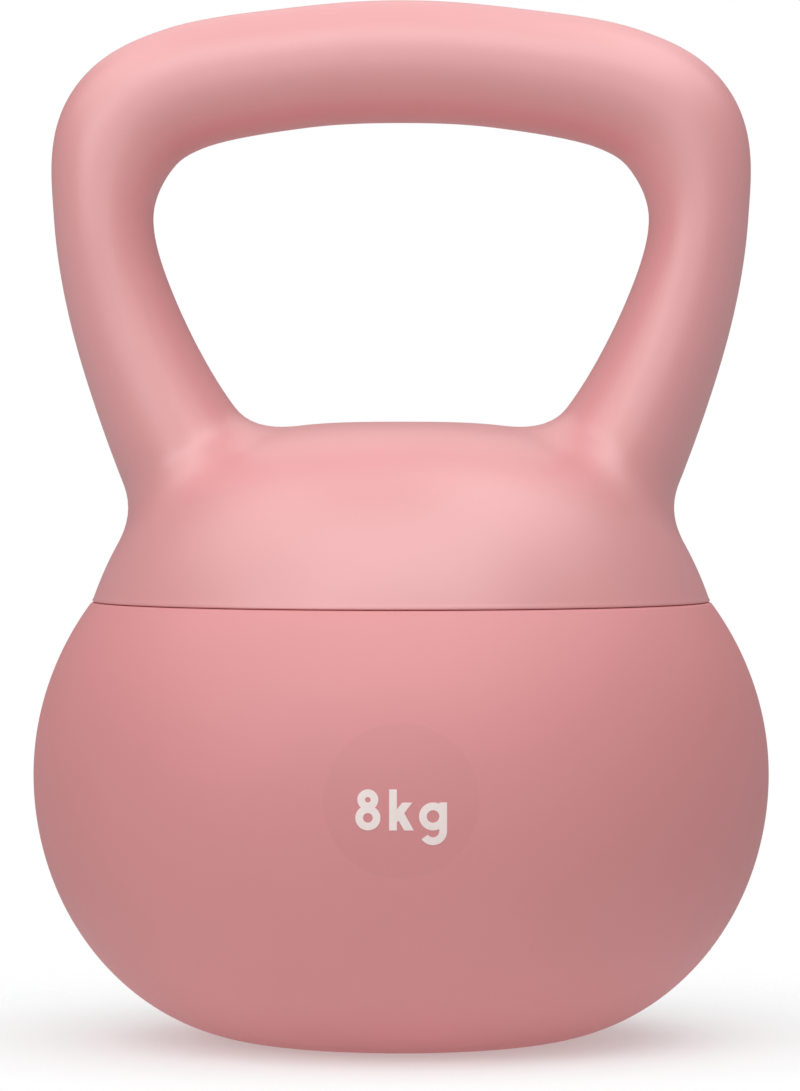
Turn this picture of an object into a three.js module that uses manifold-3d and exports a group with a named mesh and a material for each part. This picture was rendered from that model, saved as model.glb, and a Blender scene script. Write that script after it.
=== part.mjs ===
// Soft kettlebell of nominal 8 kg: a rigid hollow handle clamped to a soft body full of iron sand.
// Millimetres, +Z up, standing on z = 0. The handle's loop lies in the XZ plane.

import * as THREE from 'three';
import { mergeVertices } from 'three/addons/utils/BufferGeometryUtils.js';
import Module from 'manifold-3d';

const wasm = await Module();
wasm.setup();

// Clearance kept between pieces that touch on the real object.
const GAP = 0.3;

const HEIGHT = 280;

// Soft body: two quarter ellipses that meet at the widest ring, over a flat base.
const SEAM_Z = 118;
const BODY_RADIUS = 99.1;
const BELLY_Z = 71.6;
const BODY_CROWN = 86;
const BASE_RADIUS = 35.5;
const BODY_WALL = 4;

// The sand keeps further off the body's wall, because the facets of the two don't line up.
const SAND_GAP = 1;

// Rigid handle: a superellipse shoulder, with the loop blended into it.
const HANDLE_WALL = 4;
const SHOULDER = { radius: 93.4, centreZ: 13.6, height: 152.9, power: 3.14 };
const BLEND = 8.3;
const HANDLE_CELL = 8.8;
const LOOP_SAMPLES = 301;

// Stations of the loop from its right foot, inside the shoulder, up to the middle of the grip.
// across is the half width in the loop's own plane, depth is the half thickness along Y.
const LOOP_STATIONS = [
  { x: 40, z: 133, across: 24.5, depth: 30 },
  { x: 59, z: 159, across: 18.2, depth: 24 },
  { x: 74.2, z: 193.5, across: 14.6, depth: 19 },
  { x: 80.2, z: 222, across: 13.4, depth: 17.5 },
  { x: 75.2, z: 244.8, across: 17, depth: 17 },
  { x: 58.5, z: 256.2, across: 16.8, depth: 16.8 },
  { x: 28, z: 261.8, across: 16.3, depth: 16.5 },
  { x: 0, z: 263.5, across: 16.5, depth: 16.5 },
];

// Neck joint, stacked upwards inside the handle's skirt.
const COLLAR_RADIUS = 73.5;
const COLLAR_HEIGHT = 9;
const NECK_RADIUS = 44;
const GASKET_THICK = 2;
const SEAT_THICK = 5;
const RING_THICK = 4;
const JOINT_INNER = NECK_RADIUS + 1;
const JOINT_OUTER = COLLAR_RADIUS - BODY_WALL - 1.5;

// Clamp screws, M5, driven up from inside the body.
const SCREW_COUNT = 8;
const SCREW_CIRCLE = 54;
const SCREW = { radius: 2.5, length: 24, headRadius: 5.5, headHeight: 3.6, hex: 3, socket: 2 };
const SCREW_HOLE = 2.9;
const BOSS = { radius: 6, height: 9.4 };

// Filling port in the middle of the base.
const PAD = { radius: 30, thick: 2 };
const PORT = { radius: 16, outer: 20, top: 14, flange: 27, flangeThick: 2.4 };
const PLUG_HEAD = { radius: 18.2, thick: 2 };
const SEAL = { radius: 17, section: 0.8 };
const COIN_SLOT = { length: 22, width: 3, depth: 1.6 };

// Facets of the turned pieces: large ones, joint rings and small ones.
const LARGE_FACETS = 40;
const RING_FACETS = 32;
const SMALL_FACETS = 12;

const COLOURS = {
  handle: 0xe2a5a7,
  body: 0xd8989a,
  joint: 0x4a4a4c,
  seat: 0xcfa0a1,
  steel: 0xa9abad,
  sand: 0x3a3634,
  port: 0xd9d6d2,
  base: 0xb98486,
};

// ---- Geometry helpers ----------------------------------------------------------------------

// Joins vertices that share a place, and drops the triangles that this leaves without area.
function weld(geometry) {
  const bare = geometry.clone();
  bare.deleteAttribute('normal');
  bare.deleteAttribute('uv');
  const merged = mergeVertices(bare, 1e-4);
  const kept = [];
  const index = merged.index.array;
  for (let i = 0; i < index.length; i += 3) {
    const [a, b, c] = [index[i], index[i + 1], index[i + 2]];
    if (a !== b && b !== c && c !== a) {
      kept.push(a, b, c);
    }
  }
  merged.setIndex(kept);
  merged.computeVertexNormals();
  return merged;
}

function toSolid(geometry) {
  const welded = weld(geometry);
  return new wasm.Manifold(new wasm.Mesh({
    numProp: 3,
    vertProperties: new Float32Array(welded.attributes.position.array),
    triVerts: new Uint32Array(welded.index.array),
  }));
}

function toGeometry(solid) {
  const mesh = solid.getMesh();
  const geometry = new THREE.BufferGeometry();
  geometry.setAttribute('position', new THREE.BufferAttribute(mesh.vertProperties.slice(), 3));
  geometry.setIndex(new THREE.BufferAttribute(mesh.triVerts.slice(), 1));
  geometry.computeVertexNormals();
  return geometry;
}

// Turns a profile of [radius, z] points about +Z. It runs anticlockwise, from the base outwards.
function revolve(profile, facets) {
  const points = profile.map(([radius, z]) => new THREE.Vector2(radius, z));
  const turned = new THREE.LatheGeometry(points, facets);
  turned.rotateX(Math.PI / 2);
  return weld(turned);
}

function rod(radius, low, high, facets = SMALL_FACETS) {
  return revolve([[0, low], [radius, low], [radius, high], [0, high]], facets);
}

function block(width, depth, low, high) {
  const box = new THREE.BoxGeometry(width, depth, high - low);
  box.translate(0, 0, (low + high) / 2);
  return box;
}

// Centres of the clamp screws, clear of the X and Y axes.
function screwCentres() {
  return Array.from({ length: SCREW_COUNT }, (_, index) => {
    const angle = (index + 0.5) * 2 * Math.PI / SCREW_COUNT;
    return [SCREW_CIRCLE * Math.cos(angle), SCREW_CIRCLE * Math.sin(angle)];
  });
}

function drillForScrews(solid, radius, low, high) {
  return screwCentres().reduce((drilled, [x, y]) => {
    const drill = rod(radius, low, high);
    drill.translate(x, y, 0);
    return drilled.subtract(toSolid(drill));
  }, solid);
}

// ---- Heights in the neck joint -------------------------------------------------------------

const COLLAR_TOP = SEAM_Z + COLLAR_HEIGHT;
const FLANGE_UNDER = COLLAR_TOP - BODY_WALL;
const RING_TOP = FLANGE_UNDER - GAP;
const RING_UNDER = RING_TOP - RING_THICK;
const GASKET_UNDER = COLLAR_TOP + GAP;
const GASKET_TOP = GASKET_UNDER + GASKET_THICK;
const SEAT_UNDER = GASKET_TOP + GAP;
const SEAT_TOP = SEAT_UNDER + SEAT_THICK;
const HEAD_TOP = RING_UNDER - GAP;
const SCREW_TOP = HEAD_TOP + SCREW.length;

// ---- Handle --------------------------------------------------------------------------------

// The loop's centre line with its half width and depth, as evenly numbered samples.
function loopSamples() {
  const left = LOOP_STATIONS.slice(0, -1).reverse().map((station) => ({ ...station, x: -station.x }));
  const stations = [...LOOP_STATIONS, ...left];
  const smooth = (pick) => new THREE.CatmullRomCurve3(stations.map(pick), false, 'catmullrom', 0.5);
  const centre = smooth(({ x, z }) => new THREE.Vector3(x, 0, z));
  const size = smooth(({ across, depth }) => new THREE.Vector3(across, depth, 0));
  return Array.from({ length: LOOP_SAMPLES }, (_, index) => {
    const t = index / (LOOP_SAMPLES - 1);
    const [place, half] = [centre.getPoint(t), size.getPoint(t)];
    return { x: place.x, z: place.z, across: half.x, squeeze: half.x / half.y };
  });
}

// Distance to the loop: the nearest of the rounded discs strung along its centre line.
function loopDistance(samples, [x, y, z]) {
  return samples.reduce((nearest, disc) => {
    const away = Math.hypot(x - disc.x, z - disc.z, y * disc.squeeze) - disc.across;
    return Math.min(nearest, away);
  }, Infinity);
}

// Distance to the shoulder, a superellipse of revolution, exact near its surface.
function shoulderDistance([x, y, z]) {
  const { radius, centreZ, height, power } = SHOULDER;
  const out = Math.max(Math.hypot(x, y), 1e-6);
  const up = z - centreZ;
  const side = (out / radius) ** power;
  const top = (up / height) ** power;
  const level = side + top;
  return (1 - level ** (-1 / power)) * level / Math.hypot(side / out, top / up);
}

// Loop and shoulder melted together over the blend's width.
function handleField(samples, point) {
  const loop = loopDistance(samples, point);
  const shoulder = shoulderDistance(point);
  const overlap = Math.max(BLEND - Math.abs(loop - shoulder), 0);
  return Math.min(loop, shoulder) - overlap * overlap / (4 * BLEND);
}

// Steps a point down the field's slope until it lies on the zero surface.
function settle(field, point) {
  const probe = 0.05;
  for (let step = 0; step < 4; step += 1) {
    const value = field(point);
    const slope = point.map((_, axis) => {
      const [ahead, behind] = [[...point], [...point]];
      ahead[axis] += probe;
      behind[axis] -= probe;
      return (field(ahead) - field(behind)) / (2 * probe);
    });
    const steep = slope.reduce((sum, part) => sum + part * part, 0);
    point = point.map((part, axis) => part - value * slope[axis] / steep);
  }
  return point;
}

// Closed mesh of a field's zero surface on a grid: a vertex in each cell that the surface crosses,
// and a quad around each grid edge that it crosses.
function surfaceOf(field, low, counts, cell) {
  const key = (i, j, k) => (i * counts[1] + j) * counts[2] + k;
  const place = (i, j, k) => [low[0] + i * cell, low[1] + j * cell, low[2] + k * cell];
  const values = [];
  for (let i = 0; i < counts[0]; i += 1) {
    for (let j = 0; j < counts[1]; j += 1) {
      for (let k = 0; k < counts[2]; k += 1) {
        values.push(field(place(i, j, k)));
      }
    }
  }

  // Every crossed edge lends its crossing point to the four cells around it.
  const cells = new Map();
  const rings = [];
  const lend = (cellKey, point) => {
    const entry = cells.get(cellKey) ?? { sum: [0, 0, 0], count: 0 };
    entry.sum = entry.sum.map((part, axis) => part + point[axis]);
    entry.count += 1;
    cells.set(cellKey, entry);
  };
  for (let i = 1; i < counts[0] - 1; i += 1) {
    for (let j = 1; j < counts[1] - 1; j += 1) {
      for (let k = 1; k < counts[2] - 1; k += 1) {
        for (let axis = 0; axis < 3; axis += 1) {
          const step = [0, 1, 2].map((other) => (other === axis ? 1 : 0));
          const here = values[key(i, j, k)];
          const there = values[key(i + step[0], j + step[1], k + step[2])];
          if (here < 0 !== there < 0) {
            const crossing = place(i, j, k);
            crossing[axis] += cell * here / (here - there);
            const [side, over] = [(axis + 1) % 3, (axis + 2) % 3];
            const ring = [[0, 0], [-1, 0], [-1, -1], [0, -1]].map(([first, second]) => {
              const corner = [i, j, k];
              corner[side] += first;
              corner[over] += second;
              return key(...corner);
            });
            ring.forEach((cellKey) => lend(cellKey, crossing));
            rings.push(here < 0 ? ring : ring.reverse());
          }
        }
      }
    }
  }

  const numbers = new Map();
  const points = [];
  cells.forEach(({ sum, count }, cellKey) => {
    numbers.set(cellKey, points.length);
    points.push(settle(field, sum.map((part) => part / count)));
  });
  const distance = (a, b) => Math.hypot(...points[a].map((part, axis) => part - points[b][axis]));
  const triangles = rings.flatMap((ring) => {
    const [a, b, c, d] = ring.map((cellKey) => numbers.get(cellKey));
    return distance(a, c) < distance(b, d) ? [a, b, c, a, c, d] : [a, b, d, b, c, d];
  });
  const geometry = new THREE.BufferGeometry();
  geometry.setAttribute('position', new THREE.Float32BufferAttribute(points.flat(), 3));
  geometry.setIndex(triangles);
  return geometry;
}

// Hollow loop and shoulder in one moulding, open underneath, with its rim just above the seam.
function handleShell() {
  const samples = loopSamples();
  const floor = SEAM_Z - 2 * HANDLE_CELL;
  const reach = Math.ceil(BODY_RADIUS / HANDLE_CELL) + 0.5;
  const low = [-reach * HANDLE_CELL, -reach * HANDLE_CELL, floor - 1.5 * HANDLE_CELL];
  const counts = [2 * reach + 1, 2 * reach + 1, Math.ceil((HEIGHT - low[2]) / HANDLE_CELL) + 3];
  const skin = (inset) => surfaceOf(
    (point) => Math.max(handleField(samples, point) + inset, floor - point[2]),
    low,
    counts,
    HANDLE_CELL,
  );
  const hollow = toSolid(skin(0)).subtract(toSolid(skin(HANDLE_WALL)));
  const belowRim = block(4 * BODY_RADIUS, 4 * BODY_RADIUS, 0, SEAM_Z + GAP);
  return toGeometry(hollow.subtract(toSolid(belowRim)));
}

// Plate welded into the skirt of the handle, with a blind boss for each clamp screw and ribs.
function handleSeat() {
  const edge = [[73.3, SEAT_UNDER], [70.6, SEAT_TOP]];
  let seat = toSolid(revolve([[0, SEAT_UNDER], ...edge, [0, SEAT_TOP]], RING_FACETS));
  const hubRadius = 10;
  seat = seat.add(toSolid(rod(hubRadius, SEAT_UNDER, SEAT_TOP + BOSS.height)));
  screwCentres().forEach(([x, y]) => {
    const boss = rod(BOSS.radius, SEAT_UNDER, SEAT_TOP + BOSS.height);
    boss.translate(x, y, 0);
    const rib = block(SCREW_CIRCLE, 3, SEAT_UNDER, SEAT_TOP + BOSS.height - 3);
    rib.translate(SCREW_CIRCLE / 2, 0, 0);
    rib.rotateZ(Math.atan2(y, x));
    seat = seat.add(toSolid(boss)).add(toSolid(rib));
  });
  return toGeometry(drillForScrews(seat, SCREW_HOLE, SEAT_UNDER - 1, SCREW_TOP + GAP));
}

// ---- Body ----------------------------------------------------------------------------------

// Quarter ellipse of the soft body moved inwards by inset, between two heights on one side of the belly.
function bodyArc(inset, startZ, endZ, steps) {
  const upper = Math.max(startZ, endZ) > BELLY_Z;
  const height = (upper ? BODY_CROWN : BELLY_Z) - inset;
  const flat = upper ? 0 : BASE_RADIUS;
  const reach = BODY_RADIUS - inset - flat;
  const [first, last] = [startZ, endZ].map((z) => Math.asin((z - BELLY_Z) / height));
  return Array.from({ length: steps + 1 }, (_, index) => {
    const angle = first + (last - first) * index / steps;
    return [flat + reach * Math.cos(angle), BELLY_Z + height * Math.sin(angle)];
  });
}

// Outline of the soft body, moved inwards by inset, from one height up to another.
function bodyOutline(inset, startZ, endZ) {
  return [...bodyArc(inset, startZ, BELLY_Z, 9), ...bodyArc(inset, BELLY_Z, endZ, 4)];
}

// Soft wall with a ledge for the handle's rim, a collar inside its skirt and a flange at the neck.
function bodyShell() {
  const recess = PAD.thick + GAP;
  const collarInner = COLLAR_RADIUS - BODY_WALL;
  const ledgeUnder = SEAM_Z - BODY_WALL;
  const portHole = PORT.outer + GAP;
  const outside = [
    [portHole, recess],
    [PAD.radius + GAP, recess],
    [PAD.radius + GAP, 0],
    ...bodyOutline(0, 0, SEAM_Z),
    [COLLAR_RADIUS, SEAM_Z],
    [COLLAR_RADIUS, COLLAR_TOP],
  ];
  const inside = [
    [NECK_RADIUS, COLLAR_TOP],
    [NECK_RADIUS, FLANGE_UNDER],
    [collarInner, FLANGE_UNDER],
    [collarInner, ledgeUnder],
    ...bodyOutline(BODY_WALL, recess + BODY_WALL, ledgeUnder).reverse(),
    [portHole, recess + BODY_WALL],
    [portHole, recess],
  ];
  const wall = toSolid(revolve([...outside, ...inside], LARGE_FACETS));
  return toGeometry(drillForScrews(wall, SCREW_HOLE, FLANGE_UNDER - 1, COLLAR_TOP + 1));
}

// Flat ring of the neck joint, drilled for the clamp screws.
function jointRing(low, high) {
  const [inner, outer] = [JOINT_INNER, JOINT_OUTER];
  const profile = [[inner, low], [outer, low], [outer, high], [inner, high], [inner, low]];
  return toGeometry(drillForScrews(toSolid(revolve(profile, RING_FACETS)), SCREW_HOLE, low - 1, high + 1));
}

// Foam ring between the body's flange and the handle's plate.
function neckGasket() {
  return jointRing(GASKET_UNDER, GASKET_TOP);
}

// Steel ring under the flange that spreads the screws' load.
function clampRing() {
  return jointRing(RING_UNDER, RING_TOP);
}

// Pan head screw with a hexagon socket, its head underneath and its tip up in the boss.
function clampScrew() {
  const { radius, headRadius, headHeight, hex, socket } = SCREW;
  const headUnder = HEAD_TOP - headHeight;
  const body = toSolid(revolve([
    [0, headUnder],
    [headRadius - 1.2, headUnder],
    [headRadius, headUnder + 1.2],
    [headRadius, HEAD_TOP],
    [radius, HEAD_TOP],
    [radius, SCREW_TOP - 1],
    [radius - 0.8, SCREW_TOP],
    [0, SCREW_TOP],
  ], SMALL_FACETS));
  return toGeometry(body.subtract(toSolid(rod(hex / 2, headUnder - 1, headUnder + socket, 6))));
}

// Iron sand fills the body, levelled just under the screw heads.
function ironSand() {
  const floor = PAD.thick + GAP + BODY_WALL + GAP;
  const overFlange = floor + PORT.flangeThick + GAP;
  const overPort = PORT.top + GAP;
  const level = HEAD_TOP - SCREW.headHeight - GAP - 1;
  return revolve([
    [0, overPort],
    [PORT.outer + GAP, overPort],
    [PORT.outer + GAP, overFlange],
    [PORT.flange + GAP, overFlange],
    [PORT.flange + GAP, floor],
    ...bodyOutline(BODY_WALL + SAND_GAP, floor, level),
    [0, level + 1],
  ], RING_FACETS);
}

// ---- Filling port --------------------------------------------------------------------------

const PORT_UNDER = PAD.thick + 2 * GAP;
const SEAL_STEP = PORT_UNDER + PLUG_HEAD.thick + 2 * SEAL.section + 2 * GAP;

// Rigid collar through the base wall, with its flange inside the body.
function fillerCollar() {
  const flangeUnder = PAD.thick + GAP + BODY_WALL + GAP;
  return revolve([
    [PLUG_HEAD.radius + GAP, PORT_UNDER],
    [PORT.outer, PORT_UNDER],
    [PORT.outer, flangeUnder],
    [PORT.flange, flangeUnder],
    [PORT.flange, flangeUnder + PORT.flangeThick],
    [PORT.outer, flangeUnder + PORT.flangeThick],
    [PORT.outer, PORT.top],
    [PORT.radius, PORT.top],
    [PORT.radius, SEAL_STEP],
    [PLUG_HEAD.radius + GAP, SEAL_STEP],
    [PLUG_HEAD.radius + GAP, PORT_UNDER],
  ], RING_FACETS);
}

// Screw plug with a coin slot across its head.
function fillerPlug() {
  const shank = PORT.radius - GAP;
  const headTop = PORT_UNDER + PLUG_HEAD.thick;
  const plug = toSolid(revolve([
    [0, PORT_UNDER],
    [PLUG_HEAD.radius, PORT_UNDER],
    [PLUG_HEAD.radius, headTop],
    [shank, headTop],
    [shank, PORT.top - 2],
    [shank - 1, PORT.top - 1],
    [0, PORT.top - 1],
  ], RING_FACETS));
  const slot = block(COIN_SLOT.length, COIN_SLOT.width, PORT_UNDER - 1, PORT_UNDER + COIN_SLOT.depth);
  return toGeometry(plug.subtract(toSolid(slot)));
}

function plugSeal() {
  const centreZ = PORT_UNDER + PLUG_HEAD.thick + GAP + SEAL.section;
  const seal = new THREE.TorusGeometry(SEAL.radius, SEAL.section, 6, RING_FACETS);
  seal.translate(0, 0, centreZ);
  return weld(seal);
}

// Rubber disc that closes the base's recess and stands on the floor.
function basePad() {
  return revolve([
    [0, 0],
    [PAD.radius - 0.6, 0],
    [PAD.radius, 0.6],
    [PAD.radius, PAD.thick],
    [0, PAD.thick],
  ], RING_FACETS);
}

// ---- Assembly ------------------------------------------------------------------------------

const kettlebell = new THREE.Group();

function addPart(name, geometry, color, roughness, metalness = 0) {
  const mesh = new THREE.Mesh(geometry, new THREE.MeshStandardMaterial({ color, roughness, metalness }));
  mesh.name = name;
  kettlebell.add(mesh);
  return mesh;
}

addPart('handle_shell', handleShell(), COLOURS.handle, 0.45);
addPart('handle_seat', handleSeat(), COLOURS.seat, 0.6);
addPart('neck_gasket', neckGasket(), COLOURS.joint, 0.9);
addPart('body_shell', bodyShell(), COLOURS.body, 0.55);
addPart('clamp_ring', clampRing(), COLOURS.steel, 0.35, 1);
addPart('iron_sand', ironSand(), COLOURS.sand, 0.95);
addPart('filler_collar', fillerCollar(), COLOURS.port, 0.5);
addPart('filler_plug', fillerPlug(), COLOURS.port, 0.5);
addPart('plug_seal', plugSeal(), COLOURS.joint, 0.8);
addPart('base_pad', basePad(), COLOURS.base, 0.85);
screwCentres().forEach(([x, y], index) => {
  const screw = addPart(`clamp_screw_${index + 1}`, clampScrew(), COLOURS.steel, 0.3, 1);
  screw.position.set(x, y, 0);
});

export default kettlebell;
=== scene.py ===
import math

import bmesh
import bpy
import numpy as np
from mathutils import Matrix, Vector


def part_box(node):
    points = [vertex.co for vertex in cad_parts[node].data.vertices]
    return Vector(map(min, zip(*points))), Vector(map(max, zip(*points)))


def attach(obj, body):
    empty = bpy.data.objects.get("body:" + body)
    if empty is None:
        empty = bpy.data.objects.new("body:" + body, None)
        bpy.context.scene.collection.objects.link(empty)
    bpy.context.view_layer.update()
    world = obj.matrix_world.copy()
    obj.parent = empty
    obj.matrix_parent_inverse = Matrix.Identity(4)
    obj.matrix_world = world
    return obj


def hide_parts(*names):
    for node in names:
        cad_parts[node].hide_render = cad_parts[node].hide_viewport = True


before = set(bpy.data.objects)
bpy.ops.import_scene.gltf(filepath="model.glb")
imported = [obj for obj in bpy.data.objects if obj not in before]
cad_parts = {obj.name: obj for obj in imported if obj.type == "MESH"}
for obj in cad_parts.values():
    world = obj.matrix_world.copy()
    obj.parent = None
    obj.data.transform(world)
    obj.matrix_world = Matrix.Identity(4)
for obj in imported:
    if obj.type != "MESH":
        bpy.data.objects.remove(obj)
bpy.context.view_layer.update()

# ---- Driving dimensions, in millimetres; MM turns them into metres -------------------------------------

MM = 0.001
HEIGHT = 280.0

# Clearance between pieces that touch.
GAP = 0.3

# Soft body: two quarter ellipses that meet at the widest ring, over a flat base.
SEAM_Z = 118.0
BODY_RADIUS = 99.1
BELLY_Z = 71.6
BODY_CROWN = 86.0
BASE_RADIUS = 35.5
BODY_WALL = 4.0

# Rigid handle: a superellipse shoulder, with the loop blended into it. Its wall is measured square to the
# skin, and is WALL_SLANT times as wide when measured level at the rim.
HANDLE_WALL = 4.0
WALL_SLANT = 1.06
SHOULDER_RADIUS = 93.4
SHOULDER_CENTRE = 13.6
SHOULDER_HEIGHT = 152.9
SHOULDER_POWER = 3.14
BLEND = 8.3

# Stations of the loop from its right foot up to the middle of the grip:
# x, z, half width in the loop's plane, half thickness along Y.
LOOP_STATIONS = [
    (40.0, 133.0, 24.5, 30.0),
    (59.0, 159.0, 18.2, 24.0),
    (74.2, 193.5, 14.6, 19.0),
    (80.2, 222.0, 13.4, 17.5),
    (75.2, 244.8, 17.0, 17.0),
    (58.5, 256.2, 16.8, 16.8),
    (28.0, 261.8, 16.3, 16.5),
    (0.0, 263.5, 16.5, 16.5),
]
LOOP_STEPS = 28

# Seam: the gap between the handle's rim and the body's ledge, the rounding of both edges, and the height
# of the plain turned skirt above the seam.
SEAM_GAP = 0.15
RIM_ROUND = 0.4
LEDGE_ROUND = 1.5
SKIRT_HEIGHT = 3.0

# Neck of the body, inside the handle's skirt.
COLLAR_RADIUS = 73.5
COLLAR_TOP = SEAM_Z + 9.0
NECK_RADIUS = 44.0

# Clamp screws, M5 with a pan head, and the plate that they pull on.
SCREW_COUNT = 8
SCREW_CIRCLE = 54.0
SCREW_HOLE = 2.9
SCREW_RADIUS = 2.5
SCREW_PITCH = 0.8
SCREW_THREAD = 0.42
SCREW_HEAD = 5.5
SCREW_HEAD_HEIGHT = 3.6
SCREW_HEAD_ROUND = 1.6
SOCKET_RADIUS = 1.73
SOCKET_DEPTH = 2.0
SEAT_THICK = 5.0
HUB_RADIUS = 10.0
BOSS_RADIUS = 6.0
RIB_WIDTH = 3.0
RIB_DROP = 3.0

# Base: a recess for the pad, which has grip rings, and the filling port above it.
PAD_RADIUS = 30.0
PAD_THICK = 2.0
RING_COUNT = 5
RING_OUTER = 26.0
RING_PITCH = 4.5
RING_DEPTH = 0.45
PORT_RADIUS = 16.0
PORT_OUTER = 20.0
PORT_SEAT = 18.5
PORT_HOLE = PORT_OUTER + GAP
FLANGE_THICK = 2.4
PLUG_RADIUS = 15.7
PLUG_HEAD = 2.0
PLUG_PITCH = 2.0
PLUG_THREAD = 0.8
COLLAR_THREAD = 0.7
COIN_SLOT = (22.0, 3.0, 1.6)

# Iron sand: its clearance to the wall and to the CAD node's top, its heap, and the waves on that.
SAND_GAP = 1.0
SAND_HEAP = 0.6
SAND_WAVE = 0.25

# Fineness of the meshes: grid step of the handle, facets round the body, round the rings of the joint,
# and round the small turned pieces.
SKIN_CELL = 2.2
BODY_FACETS = 192
SAND_FACETS = 144
RING_FACETS = 128
SMALL_FACETS = 96
SCREW_FACETS = 32

# Printed mass mark on the front of the body, over a plain round patch of a slightly deeper tone.
MARK_Z = 68.2
MARK_HEIGHT = 10.4
MARK_STROKE = 1.95
MARK_THICK = 0.12
MARK_SUNK = 0.05
MARK_GAPS = (2.2, 1.3)
MARK_GRID = 1.0
PATCH_Z = 70.3
PATCH_RADIUS = 19.8
PATCH_EDGE = 0.25

# Camera: in front, a little above the seam, aimed near the middle of the object through a long lens.
CAMERA_X = -0.3
CAMERA_DISTANCE = 1500.0
CAMERA_Z = 161.0
AIM_Z = 133.1
LENS = 183.4

# Studio: reach of the lights and radius of the floor in metres, the floor's own glow and its two tones, the
# strength of the world's light from the ground and from the sky, and half the band where they mix.
LIGHT_DISTANCE = 1.4
FLOOR_RADIUS = 0.25
FLOOR_GLOW = 0.26
FLOOR_TONES = ((0.71, 0.75, 0.75, 1), (0.73, 0.77, 0.77, 1))
GROUND_FILL = 0.48
SKY_FILL = 0.24
HORIZON = 0.1

# Soft boxes: name, azimuth (0 is the front) and elevation in degrees, width and height in metres, watts.
SOFT_BOXES = [
    ("front", 2, 52, 1.8, 1.0, 10.0),
    ("low_front", 0, 12, 1.2, 0.5, 2.0),
    ("overhead", 180, 80, 1.6, 0.8, 2.8),
    ("left", -85, 50, 1.0, 0.9, 3.4),
    ("low_left", -45, 20, 0.9, 0.6, 3.0),
    ("right", 90, 60, 1.0, 1.0, 4.4),
    ("back", 180, 45, 1.6, 0.8, 3.0),
]


# ---- Small mesh helpers -------------------------------------------------------------------------------

def new_object(name, data):
    """An object in the scene, with its mesh, camera or light."""
    made = bpy.data.objects.new(name, data)
    bpy.context.scene.collection.objects.link(made)
    return made


def mesh_object(name, points, faces):
    """A smooth-shaded object from points in millimetres."""
    mesh = bpy.data.meshes.new(name)
    spots = [tuple(float(c) * MM for c in point) for point in points]
    mesh.from_pydata(spots, [], [list(map(int, face)) for face in faces])
    mesh.validate()
    mesh.shade_smooth()
    return new_object(name, mesh)


def revolve(name, profile, facets, shape=None):
    """A solid turned about Z from a closed profile of (radius, z), anticlockwise; radius 0 is welded.

    shape(radius, z, angle) may move each point, for a thread or an uneven top."""
    angles = np.arange(facets) * 2 * math.pi / facets
    points, rings = [], []
    for radius, z in profile:
        spots = [shape(radius, z, a) if shape else (radius, z) for a in angles]
        if radius == 0:
            rings.append([len(points)] * facets)
            points.append((0, 0, spots[0][1]))
        else:
            rings.append(range(len(points), len(points) + facets))
            points += [(r * math.cos(a), r * math.sin(a), h) for (r, h), a in zip(spots, angles)]
    faces = []
    for low, high in zip(rings, rings[1:] + rings[:1]):
        for i in range(facets):
            j = (i + 1) % facets
            corners = [low[i], low[j], high[j], high[i]]
            corners = [c for k, c in enumerate(corners) if c != corners[k - 1]]
            if len(corners) > 2:
                faces.append(corners)
    return mesh_object(name, points, faces)


def rounded(radius, z, edge, start, steps):
    """A profile's corner at (radius, z), rounded off over the quarter turn from start degrees on."""
    out, up = {0: (-1, -1), 90: (1, -1), 180: (1, 1), 270: (-1, 1)}[start]
    return arc((radius + out * edge, z + up * edge), edge, start, start + 90, steps)


def rounded_ring(inner, outer, low, high, edge):
    """Profile of a flat ring with rounded edges."""
    return [
        *rounded(inner, low, edge, 180, 3),
        *rounded(outer, low, edge, 270, 3),
        *rounded(outer, high, edge, 0, 3),
        *rounded(inner, high, edge, 90, 3),
    ]


def thread(low, high, pitch, depth):
    """A shape for revolve: a helical V thread between two heights that runs out at both ends.

    depth is negative in a bore."""

    def shape(radius, z, angle):
        if radius == 0 or not low < z < high:
            return radius, z
        phase = (z / pitch - angle / (2 * math.pi)) % 1
        fade = min((z - low) / pitch, (high - z) / pitch, 1)
        return radius - depth * fade * abs(2 * phase - 1), z

    return shape


def threaded_rows(radius, low, high, pitch):
    """Rows of a profile, four to a turn, where a thread is to be cut."""
    return [(radius, z) for z in np.linspace(low, high, round(4 * (high - low) / pitch) + 1)]


def arc(centre, radius, start, end, steps):
    """Points on a circle in the (radius, z) plane, angles in degrees."""
    angles = np.radians(np.linspace(start, end, steps + 1))
    return [(centre[0] + radius * math.cos(a), centre[1] + radius * math.sin(a)) for a in angles]


def sharpen(piece, degrees):
    """Keeps edges steeper than this crisp while the rest stays smooth."""
    mesh = bmesh.new()
    mesh.from_mesh(piece.data)
    for edge in mesh.edges:
        edge.smooth = not (len(edge.link_faces) == 2 and edge.calc_face_angle() > math.radians(degrees))
    mesh.to_mesh(piece.data)
    mesh.free()


# ---- Handle: implicit surface, polygonised ------------------------------------------------------------

def catmull(stations, steps):
    """Uniform Catmull-Rom through the stations, its ends reflected."""
    nodes = np.array(stations, float)
    nodes = np.vstack([2 * nodes[0] - nodes[1], nodes, 2 * nodes[-1] - nodes[-2]])
    spans = len(nodes) - 3
    along = np.linspace(0, spans, spans * steps + 1)
    first = np.minimum(along.astype(int), spans - 1)
    t = (along - first)[:, None]
    before, here, there, after = (nodes[first + k] for k in range(4))
    out, into = (there - before) / 2, (after - here) / 2
    cubic = 2 * here - 2 * there + out + into
    square = 3 * there - 3 * here - 2 * out - into
    return cubic * t**3 + square * t**2 + out * t + here


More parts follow.
